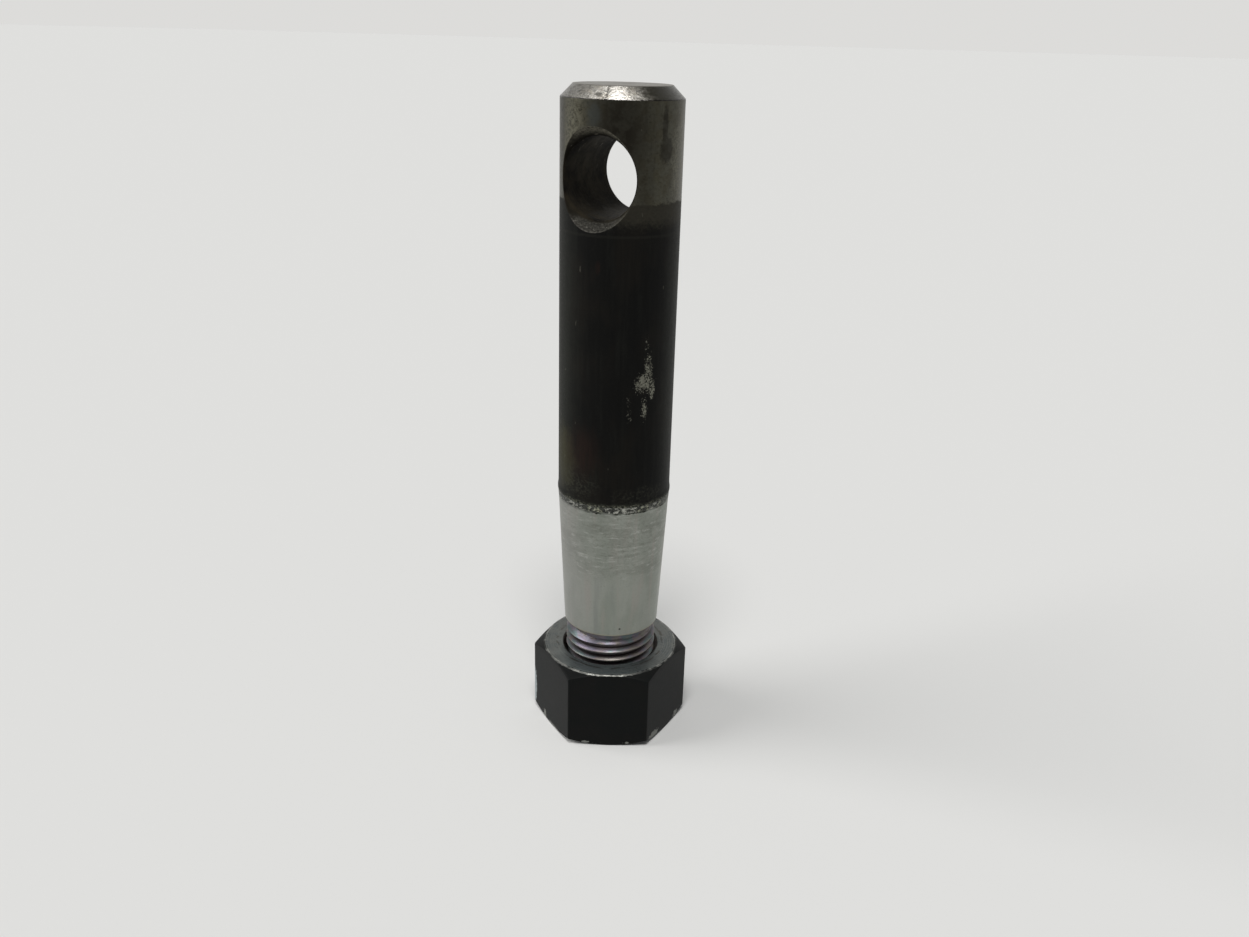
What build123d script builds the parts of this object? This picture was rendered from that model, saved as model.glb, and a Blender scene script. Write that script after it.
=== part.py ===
from build123d import *
import os
from math import radians, sqrt, tan

# A turned steel pin with a cross hole, a taper and a threaded end, and the hexagon nut screwed on it.
# The pin stands upright on the nut. The origin is the centre of the nut's lower face and +Z runs up the pin.
# The cross hole runs along Y. All lengths are in millimetres and all angles in degrees.

os.makedirs("parts", exist_ok=True)

# Shank: the plain cylinder above the taper, with a chamfered top
shank_diameter = 23.8
shank_length = 81.8
top_chamfer = 2.4

# Cross hole: its centre below the top face, and a countersink at each mouth
cross_hole_diameter = 15.5
cross_hole_drop = 16.6
cross_hole_wall = 17.8  # length of the plain bore that the two countersinks leave
cross_hole_countersink = 60.0  # included angle

# Taper: narrows from the shank to the neck
taper_length = 31.2
taper_ratio = 10.0  # length for each millimetre lost in diameter

# Thread and the neck turned between it and the taper
thread_diameter = 20.0
neck_diameter = 17.4
neck_length = 1.8
end_chamfer = 1.2
end_recess = 2.0  # from the nut's lower face up to the end of the thread
nut_to_taper = 7.0  # bare stretch of thread and neck that shows above the nut

# Hexagon nut
nut_across_flats = 30.0
nut_height = 18.0
nut_face_diameter = 29.6  # circle in which the corner chamfer meets each end face
nut_chamfer_angle = 30.0  # fall of the corner chamfer below the end face
nut_mouth_diameter = 21.6
nut_mouth_angle = 90.0  # included angle
nut_turn = 25.9  # direction of one flat, from -Y towards +X
thread_clearance = 0.05  # all round, between the thread and the nut's bore

# Heights and radii that follow from the sizes above
taper_z = nut_height + nut_to_taper
shank_z = taper_z + taper_length
top_z = shank_z + shank_length
cross_hole_z = top_z - cross_hole_drop
shank_radius = shank_diameter / 2
taper_end_radius = (shank_diameter - taper_length / taper_ratio) / 2
thread_radius = thread_diameter / 2
neck_radius = neck_diameter / 2
cross_hole_radius = cross_hole_diameter / 2
nut_bore_radius = thread_radius + thread_clearance

# The pin is one turned piece, so its outline is one profile revolved about Z
with BuildPart() as taper_pin:
    with BuildSketch(Plane.XZ):
        with BuildLine():
            Polyline(
                (0, end_recess),
                (thread_radius - end_chamfer, end_recess),
                (thread_radius, end_recess + end_chamfer),
                (thread_radius, taper_z - neck_length - (thread_radius - neck_radius)),
                (neck_radius, taper_z - neck_length),
                (neck_radius, taper_z),
                (taper_end_radius, taper_z),
                (shank_radius, shank_z),
                (shank_radius, top_z - top_chamfer),
                (shank_radius - top_chamfer, top_z),
                (0, top_z),
                close=True,
            )
        make_face()
    revolve(axis=Axis.Z)
    # Each countersink is set out on the plane that touches the shank at the hole's mouth,
    # so its rim runs out round the shank and is widest above and below the hole
    countersink_depth = shank_radius - cross_hole_wall / 2
    countersink_radius = cross_hole_radius + countersink_depth * tan(radians(cross_hole_countersink / 2))
    for side in (-1, 1):
        with Locations(Plane(origin=(0, side * shank_radius, cross_hole_z), z_dir=(0, side, 0))):
            CounterSinkHole(
                cross_hole_radius,
                countersink_radius,
                depth=2 * shank_radius,
                counter_sink_angle=cross_hole_countersink,
            )
taper_pin.part.label = "taper_pin"
export_step(taper_pin.part, "parts/taper_pin.step")

# The nut is a hexagon whose corners are turned off at both ends, bored and countersunk from both sides
with BuildPart() as hex_nut:
    with BuildSketch():
        RegularPolygon(nut_across_flats / 2, 6, major_radius=False, rotation=nut_turn)
    extrude(amount=nut_height)
    corner_radius = nut_across_flats / sqrt(3)
    face_radius = nut_face_diameter / 2
    corner_fall = (corner_radius - face_radius) * tan(radians(nut_chamfer_angle))
    with BuildSketch(Plane.XZ):
        with BuildLine():
            Polyline(
                (0, 0),
                (face_radius, 0),
                (corner_radius, corner_fall),
                (corner_radius, nut_height - corner_fall),
                (face_radius, nut_height),
                (0, nut_height),
                close=True,
            )
        make_face()
    revolve(axis=Axis.Z, mode=Mode.INTERSECT)
    for mouth_z, side in ((nut_height, 1), (0, -1)):
        with Locations(Plane(origin=(0, 0, mouth_z), z_dir=(0, 0, side))):
            CounterSinkHole(
                nut_bore_radius,
                nut_mouth_diameter / 2,
                depth=nut_height,
                counter_sink_angle=nut_mouth_angle,
            )
hex_nut.part.label = "hex_nut"
export_step(hex_nut.part, "parts/hex_nut.step")
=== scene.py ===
"""Taper pin with a hexagon nut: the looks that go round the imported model.

Lengths are in metres unless a name or a comment says millimetres. The pin stands on +Z, and an
azimuth is measured round it from -Y towards +X.
"""

import math

import bmesh
import bpy
from mathutils import Matrix, Vector, noise


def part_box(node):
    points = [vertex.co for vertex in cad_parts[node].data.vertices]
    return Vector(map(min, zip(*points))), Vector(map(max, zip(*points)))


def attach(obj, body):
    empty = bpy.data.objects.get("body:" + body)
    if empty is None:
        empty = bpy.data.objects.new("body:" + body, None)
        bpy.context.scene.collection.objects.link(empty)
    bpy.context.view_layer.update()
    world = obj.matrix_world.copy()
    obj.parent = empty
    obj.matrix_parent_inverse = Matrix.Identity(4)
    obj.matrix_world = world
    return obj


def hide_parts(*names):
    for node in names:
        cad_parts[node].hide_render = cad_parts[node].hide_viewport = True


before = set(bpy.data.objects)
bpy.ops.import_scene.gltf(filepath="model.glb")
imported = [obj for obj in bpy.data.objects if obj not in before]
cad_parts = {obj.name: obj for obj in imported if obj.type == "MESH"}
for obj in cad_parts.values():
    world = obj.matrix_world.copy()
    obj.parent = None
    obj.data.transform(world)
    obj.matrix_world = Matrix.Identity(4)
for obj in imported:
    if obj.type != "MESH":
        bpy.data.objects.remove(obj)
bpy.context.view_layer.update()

bl_info = {
    "name": "Taper Pin",
    "version": (1, 0, 0),
    "blender": (4, 5, 0),
    "location": "3D View > Sidebar > Taper Pin",
    "description": "Builds a countersunk taper pin, its hexagon nut and a plain stage",
    "category": "Add Mesh",
}

MM = 0.001
TOP_OF_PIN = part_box("taper_pin")[1].z
TOP_OF_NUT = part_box("hex_nut")[1].z

# places that the finishes follow, in millimetres
TOP_FACE = 138.0
SHOULDER = 135.6  # the chamfer's lower edge
HOLE_AXIS = 121.4  # the cross hole's axis
BARE_LINE = 117.0  # where the bare top ends
SCRIBED_LINE = 111.3  # a faint turned line in the black finish
BLACK_LINE = 56.4  # where the black finish ends
BAND_LINE = 54.7  # the lower edge of the taper's mottled band
TAPER_FOOT = 25.0
NUT_FACE = 18.0  # the nut's upper face
HOLE_WALL = 7.75  # radius of the cross hole
CREST = 9.97  # radius of the thread's crests
NUT_RIM = 14.88  # radius of the flat ring on the nut


# Settings that a user would change


def length(name, description, default_mm):
    """A length setting, given in millimetres."""
    return bpy.props.FloatProperty(
        name=name, description=description, default=default_mm * MM, min=0.0, precision=5, unit="LENGTH"
    )


def angle(name, description, degrees):
    """An angle setting, given in degrees."""
    return bpy.props.FloatProperty(
        name=name, description=description, default=math.radians(degrees), subtype="ANGLE"
    )


def colour(name, description, default):
    """A colour setting, in linear light."""
    return bpy.props.FloatVectorProperty(
        name=name, description=description, default=default, size=3, min=0.0, max=1.0, subtype="COLOR"
    )


class PinSizes(bpy.types.PropertyGroup):
    """Sizes of the turned pin."""

    shank_radius: length("Shank radius", "Half of the shank's diameter", 11.9)
    top_chamfer: length("Top chamfer", "Width of the 45 degree chamfer at the top", 2.4)
    taper_top: length("Taper top", "Height where the shank ends and the taper starts", 56.2)
    taper_end: length("Taper end", "Height of the taper's small end", 25.0)
    taper_end_radius: length("Taper end radius", "Radius at the taper's small end", 10.34)
    neck_radius: length("Neck radius", "Radius of the groove under the taper", 8.7)
    neck_end: length("Neck end", "Height where the neck's straight part ends", 23.2)
    pin_end: length("Pin end", "Height of the pin's lower end, inside the nut", 2.0)
    end_chamfer: length("End chamfer", "Width of the chamfer at the pin's lower end", 1.2)
    thread_radius: length("Thread radius", "Radius over the thread's crests", 9.97)
    thread_root: length("Thread root", "Radius at the bottom of the thread", 8.78)
    thread_pitch: length("Thread pitch", "Height of one turn of the thread", 2.0)
    thread_phase: length("Thread phase", "Height of a crest at the azimuth 0", 18.46)
    hole_radius: length("Cross hole radius", "Half of the cross hole's diameter", 7.75)
    hole_drop: length("Cross hole drop", "Distance of the hole's axis below the top", 16.6)
    hole_wall: length("Straight bore", "Length of the bore between its countersinks", 17.8)
    hole_sink: angle("Countersink", "Angle between the bore's wall and its countersink", 30)
    sink_blend: length("Countersink blend", "Reach of the rounding between countersink and bore", 1.2)
    lip: length("Finish lip", "How far the black finish stands proud at the shank's foot", 0.13)


class NutSizes(bpy.types.PropertyGroup):
    """Sizes of the hexagon nut."""

    across_flats: length("Across flats", "Width of the nut between opposite flats", 30.0)
    face_radius: length("Face radius", "Radius of the flat ring at each end", 14.88)
    chamfer: angle("Corner chamfer", "Slope of the chamfer on the corners", 30)
    mouth_radius: length("Mouth radius", "Radius of the countersink at each end", 10.8)
    bore_radius: length("Bore radius", "Radius inside the nut's thread", 10.06)
    groove_depth: length("Thread depth", "Depth of the thread cut in the bore", 0.62)
    thread_pitch: length("Thread pitch", "Height of one turn of the thread", 2.0)
    corner_radius: length("Corner radius", "Rounding of the upright corners", 0.35)
    turn: angle("Turn", "Azimuth of one flat", 25.9)


class Finishes(bpy.types.PropertyGroup):
    """Colours of the finishes."""

    black: colour("Black finish", "Shank below the bare top", (0.0032, 0.0032, 0.0029))
    bare: colour("Bare steel", "Top of the shank", (0.06, 0.0585, 0.0455))
    chamfer: colour("Chamfer steel", "Freshly turned steel on the chamfer", (0.8, 0.77, 0.715))
    zinc: colour("Zinc", "Plating on the taper", (0.272, 0.286, 0.257))
    paint: colour("Nut paint", "Black paint on the nut's flats", (0.0042, 0.005, 0.0048))
    worn: colour("Worn face", "Plated steel on the nut's faces", (0.145, 0.153, 0.145))


class StageSettings(bpy.types.PropertyGroup):
    """Camera, floor and light."""

    azimuth: angle("Azimuth", "Where the camera stands round the pin", 26.67)
    pitch: angle("Pitch", "How far the camera looks down", 21.688)
    roll: angle("Roll", "How far the picture is turned", 1.551)
    yaw: angle("Yaw", "How far the camera looks past the pin", -0.584)
    distance: length("Distance", "From the pin's axis to the camera", 216.04)
    height: length("Height", "Of the camera above the floor", 146.15)
    lens: bpy.props.FloatProperty(
        name="Lens", description="Focal length on a 36 mm wide picture", default=31.27, unit="CAMERA"
    )
    floor: colour("Floor", "Pale floor", (0.8, 0.795, 0.775))


# Shader expressions


class Shade:
    """A shader socket that Python arithmetic works on. Each operation adds its node."""

    def __init__(self, tree, socket=None):
        self.tree = tree
        self.socket = socket

    def node(self, kind, settings=None, sockets=None, out=0):
        """Adds a node: its type, its settings, then the values or links of its sockets."""
        made = self.tree.nodes.new("ShaderNode" + kind)
        for key, value in (settings or {}).items():
            if key == "stops":
                ramp = made.color_ramp.elements
                for index, (place, shade) in enumerate(value):
                    stop = ramp[index] if index < 2 else ramp.new(place)
                    stop.position = place
                    stop.color = (*shade, 1.0)
            else:
                setattr(made, key, value)
        for key, value in (sockets or {}).items():
            if isinstance(value, Shade):
                self.tree.links.new(value.socket, made.inputs[key])
            elif made.inputs[key].type == "RGBA":
                made.inputs[key].default_value = (*value, 1.0)
            else:
                made.inputs[key].default_value = value
        return Shade(self.tree, made.outputs[out])

    def maths(self, operation, *values):
        return self.node("Math", {"operation": operation}, dict(enumerate(values)))

    def __add__(self, other):
        return self.maths("ADD", self, other)

    def __radd__(self, other):
        return self.maths("ADD", other, self)

    def __sub__(self, other):
        return self.maths("SUBTRACT", self, other)

    def __rsub__(self, other):
        return self.maths("SUBTRACT", other, self)

    def __mul__(self, other):
        return self.maths("MULTIPLY", self, other)

    def __rmul__(self, other):
        return self.maths("MULTIPLY", other, self)

    def __truediv__(self, other):
        return self.maths("DIVIDE", self, other)

    def __rtruediv__(self, other):
        return self.maths("DIVIDE", other, self)

    def __pow__(self, other):
        return self.maths("POWER", self, other)

    def __rpow__(self, other):
        return self.maths("POWER", other, self)

    def __abs__(self):
        return self.maths("ABSOLUTE", self)

    def most(self, other):
        return self.maths("MAXIMUM", self, other)

    def step(self, low, high):
        """0 below low, 1 above high and a smooth rise between them; low may be the larger."""
        settings = {"interpolation_type": "SMOOTHSTEP"}
        return self.node("MapRange", settings, {"Value": self, "From Min": low, "From Max": high})

    def mix(self, first, second, share):
        """A colour between two colours."""
        return self.node("Mix", {"data_type": "RGBA"}, {0: share, 6: first, 7: second}, 2)

    def stretched(self, x, y, z):
        """The vector with each part scaled."""
        return self.node("VectorMath", {"operation": "MULTIPLY"}, {0: self, 1: (x, y, z)})

    def grain(self, size, detail=3.0, roughness=0.55, stretch=(1, 1, 1), place=0.0):
        """Noise from 0 to 1 with spots of about that size in millimetres, longer where stretch is."""
        scaled = self.stretched(*(1 / (size * s) for s in stretch))
        moved = self.node("VectorMath", {"operation": "ADD"}, {0: scaled, 1: (place, place, place)})
        sockets = {"Vector": moved, "Scale": 1.0, "Detail": detail, "Roughness": roughness}
        return self.node("TexNoise", {}, sockets)

    def parts(self):
        """The x, y and z of a vector."""
        split = self.node("SeparateXYZ", {}, {0: self}).socket.node
        return tuple(Shade(self.tree, part) for part in split.outputs)

    def swing(self, amount):
        """A noise made to swing about 0, that far from end to end."""
        return (self - 0.5) * amount


def hypot(a, b):
    """The length of two sides that stand square to each other."""
    return (a**2.0 + b**2.0) ** 0.5


def new_material(name):
    """An empty material, and the place on the piece in millimetres as a vector to start from."""
    made = bpy.data.materials.new(name)
    made.use_nodes = True
    made.node_tree.nodes.clear()
    here = Shade(made.node_tree).node("TexCoord", out="Object").stretched(1 / MM, 1 / MM, 1 / MM)
    return made, here


def surface(here, sockets, relief=None, depth_mm=0.0):
    """Ends a material with its shader. relief is a bumpy height, about 0 to 1, that stands for
    depth_mm millimetres."""
    if relief is not None:
        heights = {"Height": relief, "Distance": depth_mm * MM, "Strength": 1.0}
        sockets["Normal"] = here.node("Bump", {}, heights)
    shader = here.node("BsdfPrincipled", {}, sockets)
    output = here.tree.nodes.new("ShaderNodeOutputMaterial")
    here.tree.links.new(shader.socket, output.inputs["Surface"])


def spot(here, azimuth, height, half_width, half_height, ragged, grain, soft=0.5):
    """A soft-edged patch on one side of a round piece, 1 inside and 0 outside. Sizes are in
    millimetres. The grain draws its outline, and ragged is how much."""
    x, y, z = here.parts()
    a = math.radians(azimuth)
    across = x * math.cos(a) + y * math.sin(a)
    front = x * math.sin(a) - y * math.cos(a)
    reach = hypot(across / half_width, (z - height) / half_height)
    reach = reach + grain.swing(ragged)
    return reach.step(1.0 + soft, 1.0 - soft) * front.step(0.0, 2.0)


# Finishes


# scuffs through the shank's black: azimuth in degrees, height, half width and half height in mm,
# and how far the black is gone
SCUFFS = (
    (58.5, 85.0, 1.1, 3.6, 0.9),
    (54.5, 82.6, 2.2, 2.0, 1.0),
    (63.5, 80.8, 0.8, 2.2, 0.9),
    (55.0, 77.4, 0.75, 2.8, 0.85),
    (56.0, 90.0, 0.6, 2.2, 0.5),
    (38.0, 78.8, 0.8, 1.3, 0.45),
    (39.5, 76.2, 0.6, 1.8, 0.55),
)


def shank_finish(colours):
    """Black finish on the shank, and stained bare steel at its top."""
    made, here = new_material("shank_finish")
    z = here.parts()[2]
    fine = here.grain(0.3, 4.0, 0.65)
    speck = here.grain(0.7, 5.0, 0.75, (1, 1, 0.75), 4.0)
    blotch = here.grain(2.2, 4.0, 0.6)
    cloud = here.grain(8.0, 3.0, 0.5, (1, 1, 1.6), 7.0)
    streak = here.grain(0.45, 3.0, 0.6, (1, 1, 30), 3.0)
    smear = here.grain(1.2, 3.0, 0.6, (1, 1, 9), 13.0)

    # the black finish, browner and greyer in places, and greyer at both sides where painted sheen
    # stands in for grazing light
    black = here.mix(colours.black, (0.00663, 0.0057, 0.00442), cloud.step(0.45, 0.68))
    black = here.mix(black, (0.0085, 0.00893, 0.00748), smear.step(0.48, 0.75) * 0.5)
    black = here.mix(black, (0.00935, 0.00935, 0.00765), speck.step(0.5, 0.8) * 0.5)
    black = here.mix(black, (0.0017, 0.0017, 0.00153), streak.step(0.42, 0.7) * 0.35)
    # painted sheen along with some rubbing: greyer patches at the shank's left and right sides
    rubbed = spot(here, -49, 86, 5.5, 34, 0.6, blotch, 0.6)
    rubbed = rubbed.most(spot(here, 104, 86, 4.5, 34, 0.9, blotch, 0.6))
    black = here.mix(black, (0.0155, 0.0165, 0.013), rubbed * (0.3 + smear * 0.8))
    olive = spot(here, -36, 65, 3.6, 6, 1.0, blotch)
    black = here.mix(black, (0.0425, 0.0391, 0.0187), olive * (0.2 + smear * 0.8))
    dusty = spot(here, -30, 60.5, 6.5, 3.4, 1.4, blotch)
    dusty = dusty.most(spot(here, 56, 58.5, 5.5, 1.6, 1.6, blotch) * 0.7)
    black = here.mix(black, (0.0425, 0.0425, 0.0323), dusty * speck.step(0.42, 0.66) * 0.6)
    rust = spot(here, -9, 67.5, 3.8, 5, 1.8, smear)
    rust = rust.most(spot(here, 7, 105.4, 0.5, 1.2, 1.6, speck))
    black = here.mix(black, (0.0172, 0.0086, 0.0062), rust * (0.25 + smear.step(0.35, 0.65) * 0.4))
    scribed = abs(z - SCRIBED_LINE).step(0.4, 0.1) * blotch * 0.6
    black = here.mix(black, (0.017, 0.017, 0.0136), scribed)

    # the bare top: olive grey, with dark stains and light scuffs
    steel = here.mix(colours.bare, (0.051, 0.0476, 0.034), blotch.step(0.4, 0.62))
    steel = here.mix(steel, (0.102, 0.1, 0.0782), speck.step(0.5, 0.8) * 0.5)
    steel = here.mix(steel, (0.019, 0.0177, 0.0129), speck.step(0.5, 0.3) * 0.6)
    steel = here.mix(steel, (0.0272, 0.0245, 0.0184), smear.step(0.52, 0.75) * 0.35)
    pale = spot(here, -25, 130, 3.1, 9, 1.8, speck, 0.7)
    pale = pale.most(spot(here, 96, 125, 3.0, 9, 1.4, blotch) * 0.7)
    steel = here.mix(steel, (0.143, 0.136, 0.102), pale * speck.step(0.34, 0.66))
    stain = spot(here, 26, 130, 5.4, 11, 1.0, blotch, 0.8)
    wedge = spot(here, 68.5, 131, 0.7, 3.6, 0.7, speck, 0.3)
    wedge = wedge.most(spot(here, 70.5, 127, 1.7, 2.4, 0.7, speck, 0.3))
    stain = stain.most(wedge * 0.8).most(spot(here, 48, 122, 2.2, 7, 1.5, blotch) * 0.5)
    steel = here.mix(steel, (0.0116, 0.0102, 0.00816), stain * (0.74 + blotch.step(0.4, 0.62) * 0.2))
    scar = spot(here, -44, 130, 1.5, 9, 1.6, speck)
    steel = here.mix(steel, (0.0238, 0.0218, 0.015), scar * speck.step(0.35, 0.6) * 0.8)
    blue = spot(here, 1, 132.8, 1.5, 2.2, 1.2, blotch)
    steel = here.mix(steel, (0.051, 0.0578, 0.0578), blue * 0.45)

    # the ragged line where the bare top ends, with a browned strip under it on one side
    ragged = z + blotch.swing(1.6) + speck.swing(1.6)
    bare = ragged.step(BARE_LINE, BARE_LINE + 0.5)
    browned = (ragged + speck.swing(2.0)).step(BARE_LINE - 5.0, BARE_LINE - 2.0)
    browned = browned * spot(here, 66, 115, 9, 40, 0.5, cloud)
    black = here.mix(black, (0.036, 0.033, 0.024), browned * (0.3 + speck * 0.7))
    base = here.mix(black, steel, bare)

    # crumbled edge at the foot
    crumb = here.grain(0.4, 5.0, 0.8, (1, 1, 1), 22.0)
    foot = (z + crumb.swing(2.4) + blotch.swing(1.2)).step(BLACK_LINE + 0.7, BLACK_LINE)
    crumbled = here.mix((0.01, 0.011, 0.008), (0.16, 0.16, 0.125), crumb.step(0.48, 0.62))
    base = here.mix(base, crumbled, foot)

    # scuffs that go through the black
    scuff = 0.0
    for azimuth, height, half_width, half_height, share in SCUFFS:
        gone = spot(here, azimuth, height, half_width, half_height, 0.8, blotch, 0.8) * share
        scuff = gone.most(scuff)
    near = scuff.step(0.02, 0.15)
    scuff = (scuff + speck.swing(2.6) + fine.swing(1.6)).step(0.58, 1.05) * near
    base = here.mix(base, (0.195, 0.193, 0.156), scuff * (0.35 + fine.step(0.34, 0.62) * 0.65))
    nick = here.grain(1.5, 2.0, 0.6, (1, 1, 2.5), 31.0).step(0.745, 0.77)
    base = here.mix(base, (0.07, 0.068, 0.055), nick * 0.5)

    metal = bare * 0.9 + scuff * 0.2
    rough = 0.52 - bare * 0.12 + fine.swing(0.3) + speck.swing(0.3)
    relief = fine * 0.35 + streak * 0.2 + speck * 0.4 - scuff * 0.4 - nick * 0.3 + crumb * foot
    sockets = {"Base Color": base, "Metallic": metal, "Roughness": rough, "Specular IOR Level": 0.07}
    surface(here, sockets, relief, 0.035)
    return made


def turned_end(colours):
    """Bright turned steel of the chamfer, scratched and stained, with painted shade darkening its
    sides, and the dull top face.
    """
    made, here = new_material("turned_end")
    x, y, z = here.parts()
    scratch = here.grain(0.5, 5.0, 0.72, (1, 1, 1), 1.0)
    stain = here.grain(2.4, 4.0, 0.65, (1, 1, 1), 9.0)
    lines = here.grain(0.12, 2.0, 0.5, (22, 22, 1), 5.0)
    worn = here.grain(1.1, 4.0, 0.7, (1.6, 1.6, 0.8), 17.0)
    base = here.mix(colours.chamfer, (0.4, 0.365, 0.31), worn.step(0.48, 0.6) * 0.7)
    base = here.mix(base, (0.1, 0.087, 0.07), scratch.step(0.52, 0.66) * 0.8)
    base = here.mix(base, (0.04, 0.035, 0.027), stain.step(0.55, 0.65) * 0.75)
    mark = spot(here, 12, 137, 0.25, 8, 2.0, scratch, 0.5) * 0.6
    mark = mark.most(spot(here, 4, 136.4, 0.6, 0.4, 3.0, scratch) * 0.7)
    base = here.mix(base, (0.04, 0.032, 0.024), mark)
    # painted shade with some dirt: both sides of the chamfer darkened, away from the lamp's bright
    # middle
    side_shade_and_dirt = spot(here, 80, 137, 8, 8, 1.4, scratch)
    side_shade_and_dirt = side_shade_and_dirt.most(spot(here, -40, 137, 7.5, 8, 1.6, worn) * 0.75)
    base = here.mix(base, (0.03, 0.028, 0.021), side_shade_and_dirt)

    # the top face, turned in rings
    face = z.step(TOP_FACE - 0.14, TOP_FACE - 0.02)
    turned = here.node("CombineXYZ", {}, {0: hypot(x, y), 1: stain * 0.5}).grain(0.35, 3.0, 0.65)
    dull = here.mix((0.235, 0.225, 0.202), (0.165, 0.152, 0.131), turned.step(0.38, 0.62))
    dull = here.mix(dull, (0.13, 0.12, 0.1), scratch.step(0.5, 0.7) * 0.5)
    dull = here.mix(dull, (0.08, 0.07, 0.056), stain.step(0.45, 0.72) * 0.55)
    base = here.mix(base, dull, face)
    edge = (z + scratch.swing(0.7)).step(SHOULDER + 0.24, SHOULDER)
    base = here.mix(base, (0.01, 0.009, 0.008), edge)
    rough = 0.08 + scratch * 0.24 + face * 0.2
    relief = (scratch * 0.9 + lines * 0.1 + stain * 0.3) * (1 - face * 0.6)
    relief = relief + turned * face * 0.4
    surface(here, {"Base Color": base, "Metallic": 1.0, "Roughness": rough}, relief, 0.11)
    return made


def bored_hole():
    """Dark bore with turning marks and brown stains, and a countersink worn grey low down with painted
    glints.
    """
    made, here = new_material("bored_hole")
    x, y, z = here.parts()
    up = z - HOLE_AXIS
    out = hypot(x, up)
    marks = here.grain(0.2, 3.0, 0.6, (14, 1, 14), 6.0)
    torn = here.grain(0.3, 3.0, 0.6, (6, 1, 6), 16.0)
    stain = here.grain(2.6, 4.0, 0.6, (1, 1, 1), 3.0)
    fine = here.grain(0.4, 4.0, 0.7)
    browned = stain.step(0.3, 0.72) * up.step(7.0, 0.0)
    bore = here.mix((0.0066, 0.006, 0.0049), (0.032, 0.0268, 0.0182), browned)
    rubbed = abs(y).step(7.5, 1.5) * (0.3 + stain.step(0.35, 0.65) * 0.5)
    bore = here.mix(bore, (0.066, 0.058, 0.042), rubbed)
    turned = marks.step(0.5, 0.7) * (0.1 + up.step(1.0, -5.0) * 0.5) * stain.step(0.6, 0.4)
    bore = here.mix(bore, (0.062, 0.053, 0.038), turned)
    patch = here.grain(3.0, 2.0, 0.5, (1, 1, 1), 24.0).step(0.48, 0.6)
    strokes = torn.step(0.6, 0.7) * patch * up.step(-1.0, 2.5)
    bore = here.mix(bore, (0.33, 0.31, 0.255), strokes * 0.85)

    # the countersink: dark, rubbed along its upper rim and worn grey low down, with painted glints
    worn = here.mix((0.0216, 0.0209, 0.018), (0.0864, 0.0828, 0.072), fine.step(0.35, 0.7))
    # painted highlights: small bright glints on the worn lower countersink
    glint = here.grain(0.5, 2.0, 0.5, (2.2, 1, 1), 41.0).step(0.7, 0.77)
    worn = here.mix(worn, (0.36, 0.346, 0.302), glint)
    low = (up + stain.swing(2.5)).step(-6.3, -7.9)
    sink = out.step(HOLE_WALL + 0.01, HOLE_WALL + 0.55)
    base = here.mix(bore, (0.0122, 0.0112, 0.00864), sink * (0.4 + fine * 0.6))
    right = (x + up * 0.2).step(-7.5, -0.5)
    lip = out.step(HOLE_WALL + 0.15, HOLE_WALL + 1.35) * right * fine.step(0.25, 0.65)
    base = here.mix(base, (0.135, 0.126, 0.1), lip * 0.85)
    base = here.mix(base, worn, sink * low)
    rough = 0.62 + fine.swing(0.3)
    relief = marks * 0.35 + fine * 0.5 + strokes * 0.5
    sockets = {"Base Color": base, "Metallic": low * 0.7, "Roughness": rough}
    sockets["Specular IOR Level"] = 0.025
    surface(here, sockets, relief, 0.06)
    return made


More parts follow.
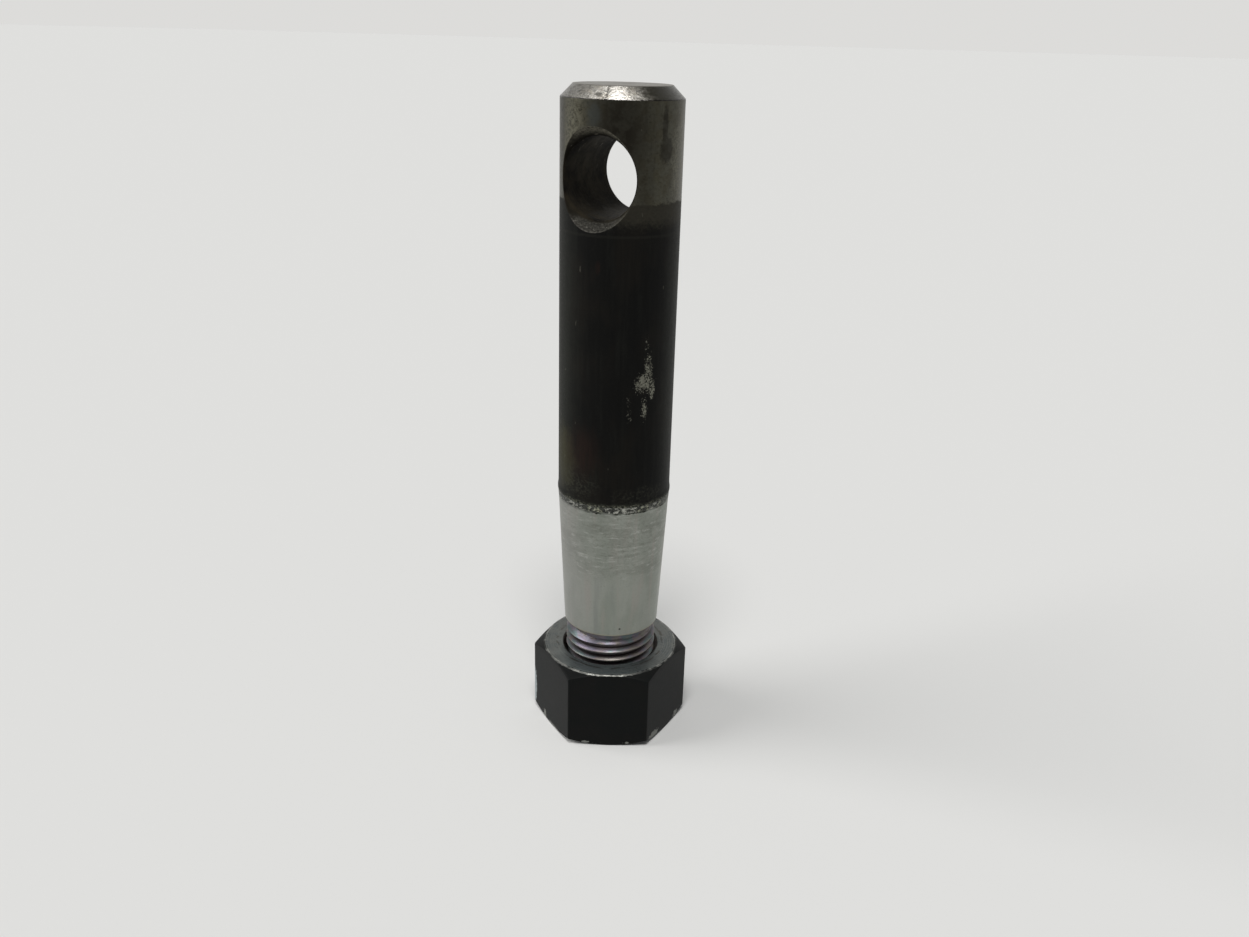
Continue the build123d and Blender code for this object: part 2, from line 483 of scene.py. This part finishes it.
def taper_finish(colours):
    """Zinc plating on the taper, rubbed in rings at the top, with a mottled band under the shank."""
    made, here = new_material("taper_finish")
    z = here.parts()[2]
    rub = here.grain(0.6, 5.0, 0.7, (5, 5, 1), 2.0)
    wide = here.grain(2.2, 2.0, 0.5, (4, 4, 1), 33.0)
    thin = here.grain(0.14, 2.0, 0.5, (40, 40, 1), 19.0)
    fine = here.grain(0.3, 4.0, 0.65)
    pebble = here.grain(0.9, 4.0, 0.65, (1, 1, 1), 14.0)
    soft = here.grain(1.6, 2.0, 0.5, (1, 1, 14), 4.0)
    cloud = here.grain(5.0, 3.0, 0.5, (1, 1, 2.5), 8.0)
    upper = (z + cloud.swing(5.0) + rub.swing(6.0)).step(35.5, 43.0)
    base = here.mix(colours.zinc, (0.221, 0.24, 0.211), cloud.step(0.42, 0.65) * 0.7)
    base = here.mix(base, (0.291, 0.273, 0.249), soft.step(0.5, 0.75) * 0.6)
    base = here.mix(base, (0.202, 0.216, 0.202), soft.step(0.45, 0.25) * (1 - upper) * 0.6)
    dulled = (pebble.step(0.45, 0.75) * 0.4 + wide.step(0.45, 0.65) * 0.4) * upper
    base = here.mix(base, (0.16, 0.169, 0.146), dulled)
    base = here.mix(base, (0.395, 0.404, 0.376), rub.step(0.52, 0.7) * upper * 0.8)
    base = here.mix(base, (0.141, 0.15, 0.127), rub.step(0.47, 0.3) * upper * 0.6)
    base = here.mix(base, (0.094, 0.0987, 0.0846), thin.step(0.66, 0.74) * upper * 0.4)
    base = here.mix(base, (0.132, 0.141, 0.113), fine.step(0.5, 0.8) * (0.3 + upper * 0.45))
    left = spot(here, -42, 40, 6.5, 30, 0.6, cloud, 0.6)
    base = here.mix(base, (0.338, 0.329, 0.32), left * 0.4)
    base = here.mix(base, (0.395, 0.338, 0.226), z.step(TAPER_FOOT + 0.5, TAPER_FOOT + 0.1) * 0.4)
    pit = spot(here, 37.5, 26.8, 0.22, 0.22, 1.0, fine)
    base = here.mix(base, (0.0188, 0.0188, 0.015), pit * 0.85)

    # mottled band at the top, darkest to the sides as painted light: its pale flakes show mostly on the
    # lit front; and the thin dark line under it
    crumb = here.grain(0.4, 5.0, 0.8, (1, 1, 1), 22.0)
    flake = here.grain(0.75, 4.0, 0.75, (1.3, 1.3, 0.8), 12.0)
    edge = z + pebble.swing(0.9) + crumb.swing(0.4)
    band = edge.step(BAND_LINE, BAND_LINE + 0.25)
    # painted light: where the band's front is lit, which lets the pale flakes show there and fades them
    # to the sides
    lit = spot(here, 32, 55.3, 9.5, 20, 0.8, cloud, 0.5)
    pale = here.mix((0.423, 0.423, 0.376), (0.32, 0.329, 0.207), cloud.step(0.5, 0.58) * 0.7)
    rough_spots = crumb.step(0.44, 0.62) * 0.8
    mottle = here.mix((0.00752, 0.00846, 0.00658), (0.0611, 0.0658, 0.0517), rough_spots)
    under_lip = (z + crumb.swing(0.8)).step(BLACK_LINE, BLACK_LINE - 0.6)
    flakes_where_lit = flake.step(0.5, 0.57) * crumb.step(0.36, 0.5) * under_lip * (0.12 + lit * 0.88)
    mottle = here.mix(mottle, pale, flakes_where_lit)
    line = abs(edge - (BAND_LINE - 0.05)).step(0.26, 0.06) * (0.35 + blotchy(here) * 0.65)
    base = here.mix(base, mottle, band)
    base = here.mix(base, (0.015, 0.0169, 0.0113), line)
    rough = 0.42 + upper * 0.08 + rub.swing(0.2) + fine.swing(0.15)
    metal = 1.0 - band * 0.6
    relief = rub * 0.4 * upper + fine * 0.35 + (crumb + flakes_where_lit) * band * 1.2 - line * 0.8
    surface(here, {"Base Color": base, "Metallic": metal, "Roughness": rough}, relief, 0.04)
    return made


def blotchy(here):
    """A mask of soft patches a few millimetres wide."""
    return here.grain(2.5, 2.0, 0.5, (1, 1, 1), 27.0).step(0.42, 0.56)


def thread_finish():
    """Iridescent plating on the neck and thread, with painted shade making it darker and browner down
    in the grooves, and a painted highlight on the crests.
    """
    made, here = new_material("thread_finish")
    x, y, z = here.parts()
    hue = here.grain(3.2, 2.0, 0.5, (1, 1, 0.7), 3.0)
    hue = hue + here.grain(0.6, 2.0, 0.5, (4, 4, 1), 6.0).swing(0.3)
    stops = (
        (0.3, (0.128, 0.124, 0.112)),
        (0.4, (0.132, 0.116, 0.112)),
        (0.47, (0.124, 0.112, 0.136)),
        (0.53, (0.1, 0.112, 0.12)),
        (0.61, (0.092, 0.124, 0.128)),
        (0.75, (0.124, 0.132, 0.12)),
    )
    tint = here.node("ValToRGB", {"stops": stops}, {0: hue})
    out = hypot(x, y)
    fine = here.grain(0.22, 3.0, 0.6, (8, 8, 1))
    tint = here.mix(tint, (0.048, 0.0416, 0.04), fine.step(0.45, 0.75) * 0.55)
    # painted shade: darker brown down in the thread's grooves below the neck
    deep = out.step(CREST - 0.22, CREST - 0.97) * z.step(22.6, 21.6)
    base = here.mix(tint, (0.056, 0.0448, 0.044), deep * 0.85)
    violet = spot(here, -8, 21.3, 3.2, 1.0, 0.6, hue, 0.6)
    base = here.mix(base, (0.256, 0.224, 0.304), violet * (1 - deep) * 0.7)
    # painted highlight: a lighter colour along the thread's crests below the neck
    crest = out.step(CREST - 0.17, CREST - 0.04) * z.step(23.0, 22.0)
    base = here.mix(base, (0.24, 0.216, 0.192), crest * 0.4)
    sockets = {"Base Color": base, "Metallic": 1.0, "Roughness": 0.3 + fine * 0.16}
    surface(here, sockets, fine, 0.03)
    return made


# chips in the nut's paint: azimuth in degrees, then height, half width and half height in mm
NUT_CHIPS = (
    (-46.0, 1.0, 0.5, 1.1),
    (-28.0, 0.4, 2.6, 0.22),
    (-5.0, 0.7, 1.3, 0.32),
    (7.8, 0.8, 0.8, 0.25),
    (42.4, 0.8, 0.45, 0.25),
    (66.0, 1.3, 1.8, 0.8),
    (104.0, 1.1, 0.9, 0.75),
)


def nut_paint(colours):
    """Black satin paint on the nut, chipped along its lower edges and worn off one corner."""
    made, here = new_material("nut_paint")
    z = here.parts()[2]
    fine = here.grain(0.35, 4.0, 0.6)
    crumb = here.grain(0.8, 4.0, 0.75, (1, 1, 1), 3.0)
    broad = here.grain(5.0, 3.0, 0.5)
    base = here.mix(colours.paint, (0.0055, 0.0056, 0.0053), broad.step(0.4, 0.7))
    base = here.mix(base, (0.012, 0.0125, 0.0115), fine.step(0.6, 0.8) * 0.35)
    chips = here.grain(1.3, 4.0, 0.7, (1, 1, 0.7), 21.0).step(0.68, 0.7) * z.step(1.9, 0.6)
    for azimuth, height, half_width, half_height in NUT_CHIPS:
        chips = chips.most(spot(here, azimuth, height, half_width, half_height, 2.6, crumb, 0.1))
    corner = spot(here, -64.1, 5.6, 1.0, 5.2, 1.6, crumb, 0.15)
    front = spot(here, 22, NUT_FACE, 6.5, 20, 0.8, crumb, 0.6)
    worn_rim = (z + crumb.swing(0.35) + front * 0.05).step(NUT_FACE - 0.18, NUT_FACE - 0.13)
    worn_rim = worn_rim * (0.08 + blotchy(here) * 0.35 + front * 0.6)
    chips = chips.most(corner).most(worn_rim)
    bare = here.mix((0.19, 0.195, 0.18), (0.32, 0.36, 0.37), corner)
    bare = here.mix(bare, (0.55, 0.55, 0.51), worn_rim * fine.step(0.4, 0.6))
    base = here.mix(base, bare, chips)
    sockets = {
        "Base Color": base,
        "Metallic": chips * 0.5,
        "Roughness": 0.4 + fine.swing(0.2) + chips * 0.1,
        "Specular IOR Level": 0.075,
    }
    surface(here, sockets, fine * 0.25 + crumb * 0.25 + (1 - chips) * 0.8, 0.06)
    return made


def nut_face(colours):
    """Plated faces and thread of the nut, rubbed by what it was tightened on, with a bright
    broken rim."""
    made, here = new_material("nut_face")
    x, y, _ = here.parts()
    out = hypot(x, y)
    rub = here.grain(0.5, 4.0, 0.65, (1, 1, 1), 4.0)
    cloud = here.grain(3.5, 3.0, 0.55, (1, 1, 1), 15.0)
    ring = here.node("CombineXYZ", {}, {0: out, 1: cloud * 0.6}).grain(0.3, 3.0, 0.6)
    base = here.mix(colours.worn, (0.103, 0.116, 0.116), cloud.step(0.42, 0.65))
    soiled = spot(here, 22, NUT_FACE, 7.5, 8, 1.2, cloud, 0.6)
    base = here.mix(base, (0.25, 0.3, 0.31), soiled * 0.7)
    base = here.mix(base, (0.23, 0.235, 0.22), ring.step(0.5, 0.7) * 0.55 * (1 - soiled))
    base = here.mix(base, (0.42, 0.46, 0.46), ring.step(0.5, 0.66) * soiled * 0.6)
    base = here.mix(base, (0.0555, 0.0513, 0.0444), rub.step(0.52, 0.75) * 0.65)
    arc = abs(out - 12.0 + cloud.swing(1.6)).step(0.4, 0.1) * blotchy(here)
    base = here.mix(base, (0.0472, 0.0375, 0.0277), arc * 0.6)
    rim = (out + rub.swing(0.8)).step(NUT_RIM - 0.33, NUT_RIM - 0.13) * (0.2 + blotchy(here) * 0.8)
    base = here.mix(base, (0.34, 0.335, 0.315), rim)
    notch = (out + rub.swing(2.0)).step(NUT_RIM - 0.38, NUT_RIM - 0.18)
    notch = notch * (1 - blotchy(here)) * rub.step(0.5, 0.6)
    base = here.mix(base, (0.00278, 0.00278, 0.00278), notch)
    base = here.mix(base, (0.0555, 0.0458, 0.0388), out.step(10.95, 10.6))
    sockets = {"Base Color": base, "Metallic": 1.0, "Roughness": 0.44 + rub.swing(0.3)}
    surface(here, sockets, rub * 0.5 + ring * 0.5, 0.03)
    return made


# Shapes


def rounded(points, radius, steps=3):
    """The points of an open line (radius, height) with its inner corners rounded."""
    made = [points[0]]
    for before, corner, after in zip(points, points[1:], points[2:]):
        corner = Vector(corner)
        back = Vector(before) - corner
        on = Vector(after) - corner
        reach = min(radius, back.length * 0.45, on.length * 0.45)
        start = corner + back.normalized() * reach
        end = corner + on.normalized() * reach
        for step in range(steps + 1):
            t = step / steps
            made.append(tuple(start * (1 - t) ** 2 + corner * 2 * t * (1 - t) + end * t * t))
    made.append(points[-1])
    return made


def divided(points, spacing):
    """The same line with points added where two are more than spacing apart."""
    made = [points[0]]
    for before, after in zip(points, points[1:]):
        pieces = max(1, math.ceil((Vector(after) - Vector(before)).length / spacing))
        made += [tuple(Vector(before).lerp(Vector(after), k / pieces)) for k in range(1, pieces + 1)]
    return made


def around(azimuth, radius, height):
    """A point round the axis."""
    return Vector((radius * math.sin(azimuth), -radius * math.cos(azimuth), height))


class Skin:
    """A mesh in the making: rings of points that are joined by faces."""

    def __init__(self):
        self.mesh = bmesh.new()

    def ring(self, points):
        return [self.mesh.verts.new(p) for p in points]

    def face(self, corners, finish):
        kept = [v for k, v in enumerate(corners) if v is not corners[k - 1]]
        if len(kept) > 2:
            self.mesh.faces.new(kept).material_index = finish

    def join(self, lower, upper, finish, skip=()):
        """Faces between two closed rings; skip holds the columns that are left open."""
        count = len(lower)
        for k in range(count):
            if k not in skip:
                n = (k + 1) % count
                self.face([lower[k], lower[n], upper[n], upper[k]], finish)

    def helix(self, azimuths, place, low, high, pitch, offsets, finish):
        """A threaded wall between two heights. Its rows follow the thread, and place gives the
        point at an azimuth and a height. Rows that would pass an end lie on it."""
        turns = math.ceil((high - low) / pitch) + 3
        heights = [low + pitch * (t - 2) + o for t in range(turns + 2) for o in offsets]
        rows = []
        for height in heights:
            climb = [height + pitch * a / math.tau for a in azimuths]
            rows.append(self.ring(place(a, min(max(h, low), high)) for a, h in zip(azimuths, climb)))
        last = len(azimuths) - 1
        for k in range(len(rows) - 1 - len(offsets)):
            for c in range(last):
                self.face([rows[k][c], rows[k][c + 1], rows[k + 1][c + 1], rows[k + 1][c]], finish)
            on = k + len(offsets)
            self.face([rows[k][last], rows[on][0], rows[on + 1][0], rows[k + 1][last]], finish)

    def finish(self, name, materials):
        """Closes the mesh and makes its object."""
        bmesh.ops.remove_doubles(self.mesh, verts=self.mesh.verts, dist=1e-6)
        bmesh.ops.dissolve_degenerate(self.mesh, edges=self.mesh.edges, dist=1e-7)
        loose = [v for v in self.mesh.verts if not v.link_faces]
        bmesh.ops.delete(self.mesh, geom=loose, context="VERTS")
        bmesh.ops.recalc_face_normals(self.mesh, faces=self.mesh.faces)
        data = bpy.data.meshes.new(name)
        self.mesh.to_mesh(data)
        self.mesh.free()
        for material in materials:
            data.materials.append(material)
        data.shade_smooth()
        data.set_sharp_from_angle(angle=math.radians(38))
        made = bpy.data.objects.new(name, data)
        bpy.context.scene.collection.objects.link(made)
        return made


# rows of one turn of a thread, as shares of its pitch away from a crest
THREAD_ROWS = (-0.41, -0.35, -0.22, -0.09, -0.06, 0.0, 0.06, 0.09, 0.22, 0.35, 0.41, 0.5)
COLUMNS = 240  # round the pin
HALF_WINDOW = 40  # columns on each side of a hole mouth that are left open for it
WINDOW_REACH = 12.4 * MM  # how far the open window goes above and below the hole's axis
MOUTH_SHARES = (0.75, 0.55, 0.38, 0.24, 0.12, 0.04, 0.0)  # rings from the window in to the rim
BORE_START = 7.4 * MM  # how far from the middle of the bore its mouths' rings end
BORE_STEPS = 44
FLAT_STEPS = 40  # columns on each flat of the nut
CORNER_STEPS = 5  # and round each of its corners
EDGE = 0.16 * MM  # rounding of the nut's edges and the taper's foot
ON_FACE = 0.03 * MM  # how near the nut's end faces a ring counts as theirs
NUT_PIECES = {4: 4, 8: 4, 12: 14, 16: 4, 20: 3}  # long stretches of the nut's outline, divided

# zones of the pin and of the nut, each with its own finish
SHANK, END, BORE, TAPER, THREAD = range(5)
PAINT, FACE = range(2)


def thread_wall(crest, root, pitch, phase):
    """The radius of a 60 degree thread at an azimuth and a height."""
    flank = 1 / math.tan(math.radians(30))

    def radius(azimuth, height):
        turn = (height - phase - pitch * azimuth / math.tau) / pitch
        away = abs(turn - round(turn)) * pitch
        return max(root, crest - max(0.0, away - pitch / 14) * flank)

    return radius


def build_thread(skin, sizes, azimuths):
    """The thread up to the neck's straight part, and the pin's closed lower end."""
    pitch = sizes.thread_pitch
    wall = thread_wall(sizes.thread_radius, sizes.thread_root, pitch, sizes.thread_phase)

    def point(azimuth, height):
        under_neck = sizes.neck_radius + max(0.0, sizes.neck_end - height)
        over_end = sizes.thread_radius - sizes.end_chamfer + (height - sizes.pin_end)
        return around(azimuth, min(wall(azimuth, height), under_neck, over_end), height)

    rows = [(sizes.thread_phase - sizes.pin_end) % pitch + row * pitch for row in THREAD_ROWS]
    skin.helix(azimuths, point, sizes.pin_end, sizes.neck_end, pitch, rows, THREAD)
    rings = [skin.ring(point(a, sizes.pin_end) for a in azimuths)]
    for radius in (6 * MM, 3 * MM):  # the flat end
        rings.append(skin.ring(around(a, radius, sizes.pin_end) for a in azimuths))
        skin.join(rings[-2], rings[-1], THREAD)
    skin.face(rings[-1], THREAD)


def turned_line(sizes):
    """The pin's outline from the neck to the top face, as radii and heights, and its first and
    last rows beside the cross hole."""
    radius = sizes.shank_radius
    foot = sizes.taper_top
    end = sizes.taper_end
    lip = sizes.lip
    axis = TOP_OF_PIN - sizes.hole_drop
    shoulder = TOP_OF_PIN - sizes.top_chamfer
    end_radius = radius - sizes.top_chamfer
    rate = (radius - sizes.taper_end_radius) / (foot - end)

    corner = [
        (sizes.neck_radius, sizes.neck_end),
        (sizes.neck_radius, end),
        (sizes.taper_end_radius, end),
        (sizes.taper_end_radius + 0.05 * MM, end + 1 * MM),
    ]
    line = divided(rounded(corner, EDGE), 0.8 * MM)
    band = (radius - rate * 2.2 * MM, foot - 2.2 * MM)
    line += divided([line[-1], band], 1.2 * MM)[1:]
    raised = [
        band,
        (radius - 0.03 * MM, foot - 1.2 * MM),
        (radius + lip * 0.3, foot - 0.3 * MM),
        (radius + lip, foot + 0.1 * MM),
        (radius + lip, foot + 0.6 * MM),
        (radius + lip * 0.2, foot + 1.3 * MM),
        (radius, foot + 2.2 * MM),
    ]
    line += divided(rounded(raised, 0.15 * MM), 0.25 * MM)[1:]
    line += divided([line[-1], (radius, axis - WINDOW_REACH)], 2.0 * MM)[1:]
    low = len(line) - 1
    line += divided([line[-1], (radius, axis + WINDOW_REACH)], 0.42 * MM)[1:]
    high = len(line) - 1
    line += divided([line[-1], (radius, shoulder)], 1.0 * MM)[1:]
    top = [line[-2], (radius, shoulder), (end_radius, TOP_OF_PIN), (end_radius / 2, TOP_OF_PIN)]
    line = line[:-1] + divided(rounded(top, 0.12 * MM), 0.5 * MM)[1:]
    return line + [(end_radius / 4, TOP_OF_PIN)], low, high


def hole_rim(sizes, way):
    """Distance from the hole's axis to the countersink's rim, in a direction round the hole."""
    out = sizes.hole_radius
    for _ in range(30):
        deep = math.sqrt(max(sizes.shank_radius**2 - (out * math.cos(way)) ** 2, 0.0))
        out = sizes.hole_radius + max(0.0, deep - sizes.hole_wall / 2) * math.tan(sizes.hole_sink)
    return out


def mouth_points(sizes, azimuth, height, side):
    """Points from the open window's border, in over the countersink's rim and down to the bore.
    side is 1 at the front of the pin and -1 at the back."""
    radius = sizes.shank_radius
    axis = TOP_OF_PIN - sizes.hole_drop
    turn = 0 if side == 1 else math.pi
    way = math.atan2(height - axis, azimuth * radius)
    across, up = math.cos(way), math.sin(way)
    rim = hole_rim(sizes, way)
    edge = rim + 0.1 * MM
    edge_azimuth = math.asin(max(-1.0, min(1.0, edge * across / radius)))
    made = []
    for share in MOUTH_SHARES:
        a = edge_azimuth + (azimuth - edge_azimuth) * share
        h = axis + edge * up + (height - axis - edge * up) * share
        made.append(around(turn + side * a, radius, h))
    start = Vector((rim, math.sqrt(radius**2 - (rim * across) ** 2)))
    corner = Vector((sizes.hole_radius, sizes.hole_wall / 2))
    profile = [start.lerp(corner, share) for share in (0, 0.12, 0.4, 1)]
    profile.append((sizes.hole_radius, BORE_START))
    for out, depth in rounded(profile, sizes.sink_blend, 5)[1:]:
        made.append(Vector((out * across, -side * depth, axis + out * up)))
    return made


def build_hole(skin, sizes, line, rings, low, high):
    """The shank round both mouths of the cross hole, the countersinks and the bore."""
    half = HALF_WINDOW
    border = [(k, low) for k in range(-half, half)]
    border += [(half, k) for k in range(low, high)]
    border += [(k, high) for k in range(half, -half, -1)]
    border += [(-half, k) for k in range(high, low, -1)]
    places = [(math.tau * column / COLUMNS, line[row][1]) for column, row in border]
    inner = []
    for side, middle in ((1, 0), (-1, COLUMNS // 2)):
        spokes = [mouth_points(sizes, azimuth, height, side) for azimuth, height in places]
        chain = [[rings[row][(middle + side * column) % COLUMNS] for column, row in border]]
        chain += [skin.ring(spoke[k] for spoke in spokes) for k in range(len(spokes[0]))]
        for k, (first, second) in enumerate(zip(chain, chain[1:])):
            skin.join(first, second, SHANK if k < len(MOUTH_SHARES) else BORE)
        inner.append(chain[-1])

    # straight bore, uneven by a few hundredths of a millimetre as the drill left it
    axis = TOP_OF_PIN - sizes.hole_drop
    ways = [math.atan2(height - axis, a * sizes.shank_radius) for a, height in places]
    last = inner[0]
    for step in range(1, BORE_STEPS):
        y = BORE_START * (2 * step / BORE_STEPS - 1)
        rough = noise.noise(Vector((0, y / MM * 2.3, 1.7))) - 0.2
        radius = sizes.hole_radius + 0.03 * MM * rough
        ring = skin.ring(
            Vector((radius * math.cos(way), y, axis + radius * math.sin(way))) for way in ways
        )
        skin.join(last, ring, BORE)
        last = ring
    skin.join(last, inner[1], BORE)


def build_pin(sizes, materials):
    """The whole pin as one mesh."""
    skin = Skin()
    azimuths = [math.tau * k / COLUMNS for k in range(COLUMNS)]
    build_thread(skin, sizes, azimuths)
    line, low, high = turned_line(sizes)
    rings = [skin.ring(around(a, radius, height) for a in azimuths) for radius, height in line]
    windows = {
        (middle + k) % COLUMNS
        for middle in (0, COLUMNS // 2)
        for k in range(-HALF_WINDOW, HALF_WINDOW)
    }
    near = 0.02 * MM
    limits = (
        (sizes.taper_end, THREAD),
        (sizes.taper_top, TAPER),
        (TOP_OF_PIN - sizes.top_chamfer, SHANK),
        (TOP_OF_PIN, END),
    )
    for k, (lower, upper) in enumerate(zip(rings, rings[1:])):
        finish = next(zone for limit, zone in limits if line[k + 1][1] < limit + near)
        skin.join(lower, upper, finish, windows if low <= k < high else ())
    skin.face(rings[-1], END)
    build_hole(skin, sizes, line, rings, low, high)
    return skin.finish("pin", materials)


def nut_outline(sizes):
    """Points round the hexagon, with rounded corners, as azimuth and distance from the axis."""
    half = sizes.across_flats / 2
    corner = sizes.corner_radius
    straight = (half - corner) * math.tan(math.radians(30))
    limit = math.atan2(straight, half)
    made = []
    for side in range(6):
        base = sizes.turn + side * math.pi / 3
        for step in range(FLAT_STEPS + 1):
            along = half * math.tan(-limit + 2 * limit * step / FLAT_STEPS)
            made.append((base + math.atan2(along, half), math.hypot(half, along)))
        for step in range(1, CORNER_STEPS):
            swing = math.radians(60) * step / CORNER_STEPS
            out = half - corner + corner * math.cos(swing)
            along = straight + corner * math.sin(swing)
            made.append((base + math.atan2(along, out), math.hypot(out, along)))
    return made


def build_nut(sizes, materials):
    """The whole nut as one mesh."""
    skin = Skin()
    outline = nut_outline(sizes)
    top = TOP_OF_NUT
    bore = sizes.bore_radius
    mouth = sizes.mouth_radius - bore
    columns = []
    for azimuth, reach in outline:
        drop = max(0.0, reach - sizes.face_radius) * math.tan(sizes.chamfer)
        corners = [
            (bore, top - mouth),
            (sizes.mouth_radius, top),
            (sizes.face_radius, top),
            (reach, top - drop),
            (reach, drop),
            (sizes.face_radius, 0.0),
            (sizes.mouth_radius, 0.0),
            (bore, mouth),
        ]
        points = rounded(corners, EDGE)
        column = [points[0]]
        for k, (first, second) in enumerate(zip(points, points[1:])):
            pieces = NUT_PIECES.get(k, 1)
            for j in range(1, pieces + 1):
                column.append(Vector(first).lerp(Vector(second), j / pieces))
        columns.append([around(azimuth, radius, height) for radius, height in column])
    rings = [skin.ring(column[k] for column in columns) for k in range(len(columns[0]))]
    for lower, upper in zip(rings, rings[1:]):
        heights = (lower[0].co.z, upper[0].co.z)
        level = min(heights) > top - ON_FACE or max(heights) < ON_FACE
        inside = upper[0].co.xy.length < sizes.mouth_radius
        skin.join(lower, upper, FACE if level or inside else PAINT)

    # threaded bore, whose groove fades out at both mouths
    pitch = sizes.thread_pitch
    phase = 1.0 * MM
    fade = 0.8 * MM
    start = outline[0][0]
    wall = thread_wall(sizes.groove_depth, 0.0, pitch, phase)

    def point(turned, height):
        inward = min(height - mouth, top - mouth - height) / fade
        cut = wall(turned, height) * min(1.0, max(0.0, inward))
        return around(turned + start, bore + cut, height)

    turned = [azimuth - start for azimuth, _ in outline]
    rows = [(phase - mouth) % pitch + row * pitch for row in THREAD_ROWS]
    skin.helix(turned, point, mouth, top - mouth, pitch, rows, FACE)
    return skin.finish("nut", materials)


# Operators


class TAPERPIN_OT_pin(bpy.types.Operator):
    """Build the turned pin and its finishes"""

    bl_idname = "taperpin.pin"
    bl_label = "Pin"

    def execute(self, context):
        scene = context.scene
        colours = scene.taperpin_finishes
        # in the order of the zones SHANK, END, BORE, TAPER and THREAD
        finishes = [
            shank_finish(colours),
            turned_end(colours),
            bored_hole(),
            taper_finish(colours),
            thread_finish(),
        ]
        pin = build_pin(scene.taperpin_pin, finishes)
        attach(pin, "pin")
        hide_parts("taper_pin")
        return {"FINISHED"}


class TAPERPIN_OT_nut(bpy.types.Operator):
    """Build the hexagon nut and its finishes"""

    bl_idname = "taperpin.nut"
    bl_label = "Nut"

    def execute(self, context):
        scene = context.scene
        colours = scene.taperpin_finishes
        nut = build_nut(scene.taperpin_nut, [nut_paint(colours), nut_face(colours)])
        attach(nut, "nut")
        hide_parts("hex_nut")
        return {"FINISHED"}


FLOOR_REACH = 40.0  # metres from the middle of the floor to its edges

# lamps far away: azimuth and height over the horizon, width of their light, all in degrees, and power
LAMPS = (
    ("overhead", 22, 66, 22, 1.64),
    ("left", -62, 31, 42, 1.52),
)


class TAPERPIN_OT_stage(bpy.types.Operator):
    """Set up the floor, the lamps and the camera"""

    bl_idname = "taperpin.stage"
    bl_label = "Stage"

    def execute(self, context):
        scene = context.scene
        stage = scene.taperpin_stage
        scene.view_settings.view_transform = "Standard"

        floor_mesh = bpy.data.meshes.new("floor")
        signs = ((-1, -1), (1, -1), (1, 1), (-1, 1))
        corners = [(FLOOR_REACH * x, FLOOR_REACH * y, 0) for x, y in signs]
        floor_mesh.from_pydata(corners, [], [(0, 1, 2, 3)])
        floor = bpy.data.objects.new("floor", floor_mesh)
        scene.collection.objects.link(floor)
        made, here = new_material("floor")
        surface(here, {"Base Color": tuple(stage.floor), "Roughness": 0.7, "Specular IOR Level": 0.0})
        floor_mesh.materials.append(made)

        # the camera and metal see a pale room, and the rest is lit by a dimmer one
        world = bpy.data.worlds.new("studio")
        world.use_nodes = True
        world.node_tree.nodes.clear()
        tree = Shade(world.node_tree)
        seen = tree.node("LightPath", out="Is Camera Ray")
        for ray in ("Is Glossy Ray", "Is Transmission Ray"):
            seen = seen.most(tree.node("LightPath", out=ray))
        lit = tree.node("Background", {}, {"Color": (0.2, 0.205, 0.21), "Strength": 1.0})
        shown = tree.node("Background", {}, {"Color": (0.72, 0.715, 0.7), "Strength": 1.0})
        both = tree.node("MixShader", {}, {0: seen, 1: lit, 2: shown})
        output = world.node_tree.nodes.new("ShaderNodeOutputWorld")
        world.node_tree.links.new(both.socket, output.inputs["Surface"])
        scene.world = world

        for name, azimuth, elevation, width, power in LAMPS:
            lamp = bpy.data.lights.new(name, "SUN")
            lamp.angle = math.radians(width)
            lamp.energy = power
            held = bpy.data.objects.new(name, lamp)
            a, e = math.radians(azimuth), math.radians(elevation)
            away = Vector((math.sin(a) * math.cos(e), -math.cos(a) * math.cos(e), math.sin(e)))
            held.rotation_euler = away.to_track_quat("Z", "Y").to_euler()
            scene.collection.objects.link(held)

        camera = bpy.data.cameras.new("camera")
        camera.sensor_width = 36.0
        camera.lens = stage.lens
        camera.clip_start = 0.01
        held = bpy.data.objects.new("camera", camera)
        spin = Matrix.Rotation(stage.azimuth + stage.yaw, 4, "Z")
        tip = Matrix.Rotation(math.pi / 2 - stage.pitch, 4, "X")
        held.rotation_euler = (spin @ tip @ Matrix.Rotation(stage.roll, 4, "Z")).to_euler()
        held.location = around(stage.azimuth, stage.distance, stage.height)
        scene.collection.objects.link(held)
        scene.camera = held
        return {"FINISHED"}


class TAPERPIN_PT_panel(bpy.types.Panel):
    """Lists the pieces and their settings"""

    bl_idname = "TAPERPIN_PT_panel"
    bl_label = "Taper Pin"
    bl_space_type = "VIEW_3D"
    bl_region_type = "UI"
    bl_category = "Taper Pin"

    def draw(self, context):
        for operator in OPERATORS:
            self.layout.operator(operator.bl_idname)
        for group in GROUPS:
            box = self.layout.box()
            settings = getattr(context.scene, group)
            for name in settings.bl_rna.properties.keys():
                if name not in ("name", "rna_type"):
                    box.prop(settings, name)


GROUPS = {
    "taperpin_pin": PinSizes,
    "taperpin_nut": NutSizes,
    "taperpin_finishes": Finishes,
    "taperpin_stage": StageSettings,
}
OPERATORS = (TAPERPIN_OT_pin, TAPERPIN_OT_nut, TAPERPIN_OT_stage)


def register():
    for made in (*GROUPS.values(), *OPERATORS, TAPERPIN_PT_panel):
        bpy.utils.register_class(made)
    for name, group in GROUPS.items():
        setattr(bpy.types.Scene, name, bpy.props.PointerProperty(type=group))


def unregister():
    for name in GROUPS:
        delattr(bpy.types.Scene, name)
    for made in reversed((*GROUPS.values(), *OPERATORS, TAPERPIN_PT_panel)):
        bpy.utils.unregister_class(made)


def main():
    register()
    bpy.ops.taperpin.pin()
    bpy.ops.taperpin.nut()
    bpy.ops.taperpin.stage()


if __name__ == "__main__":
    main()
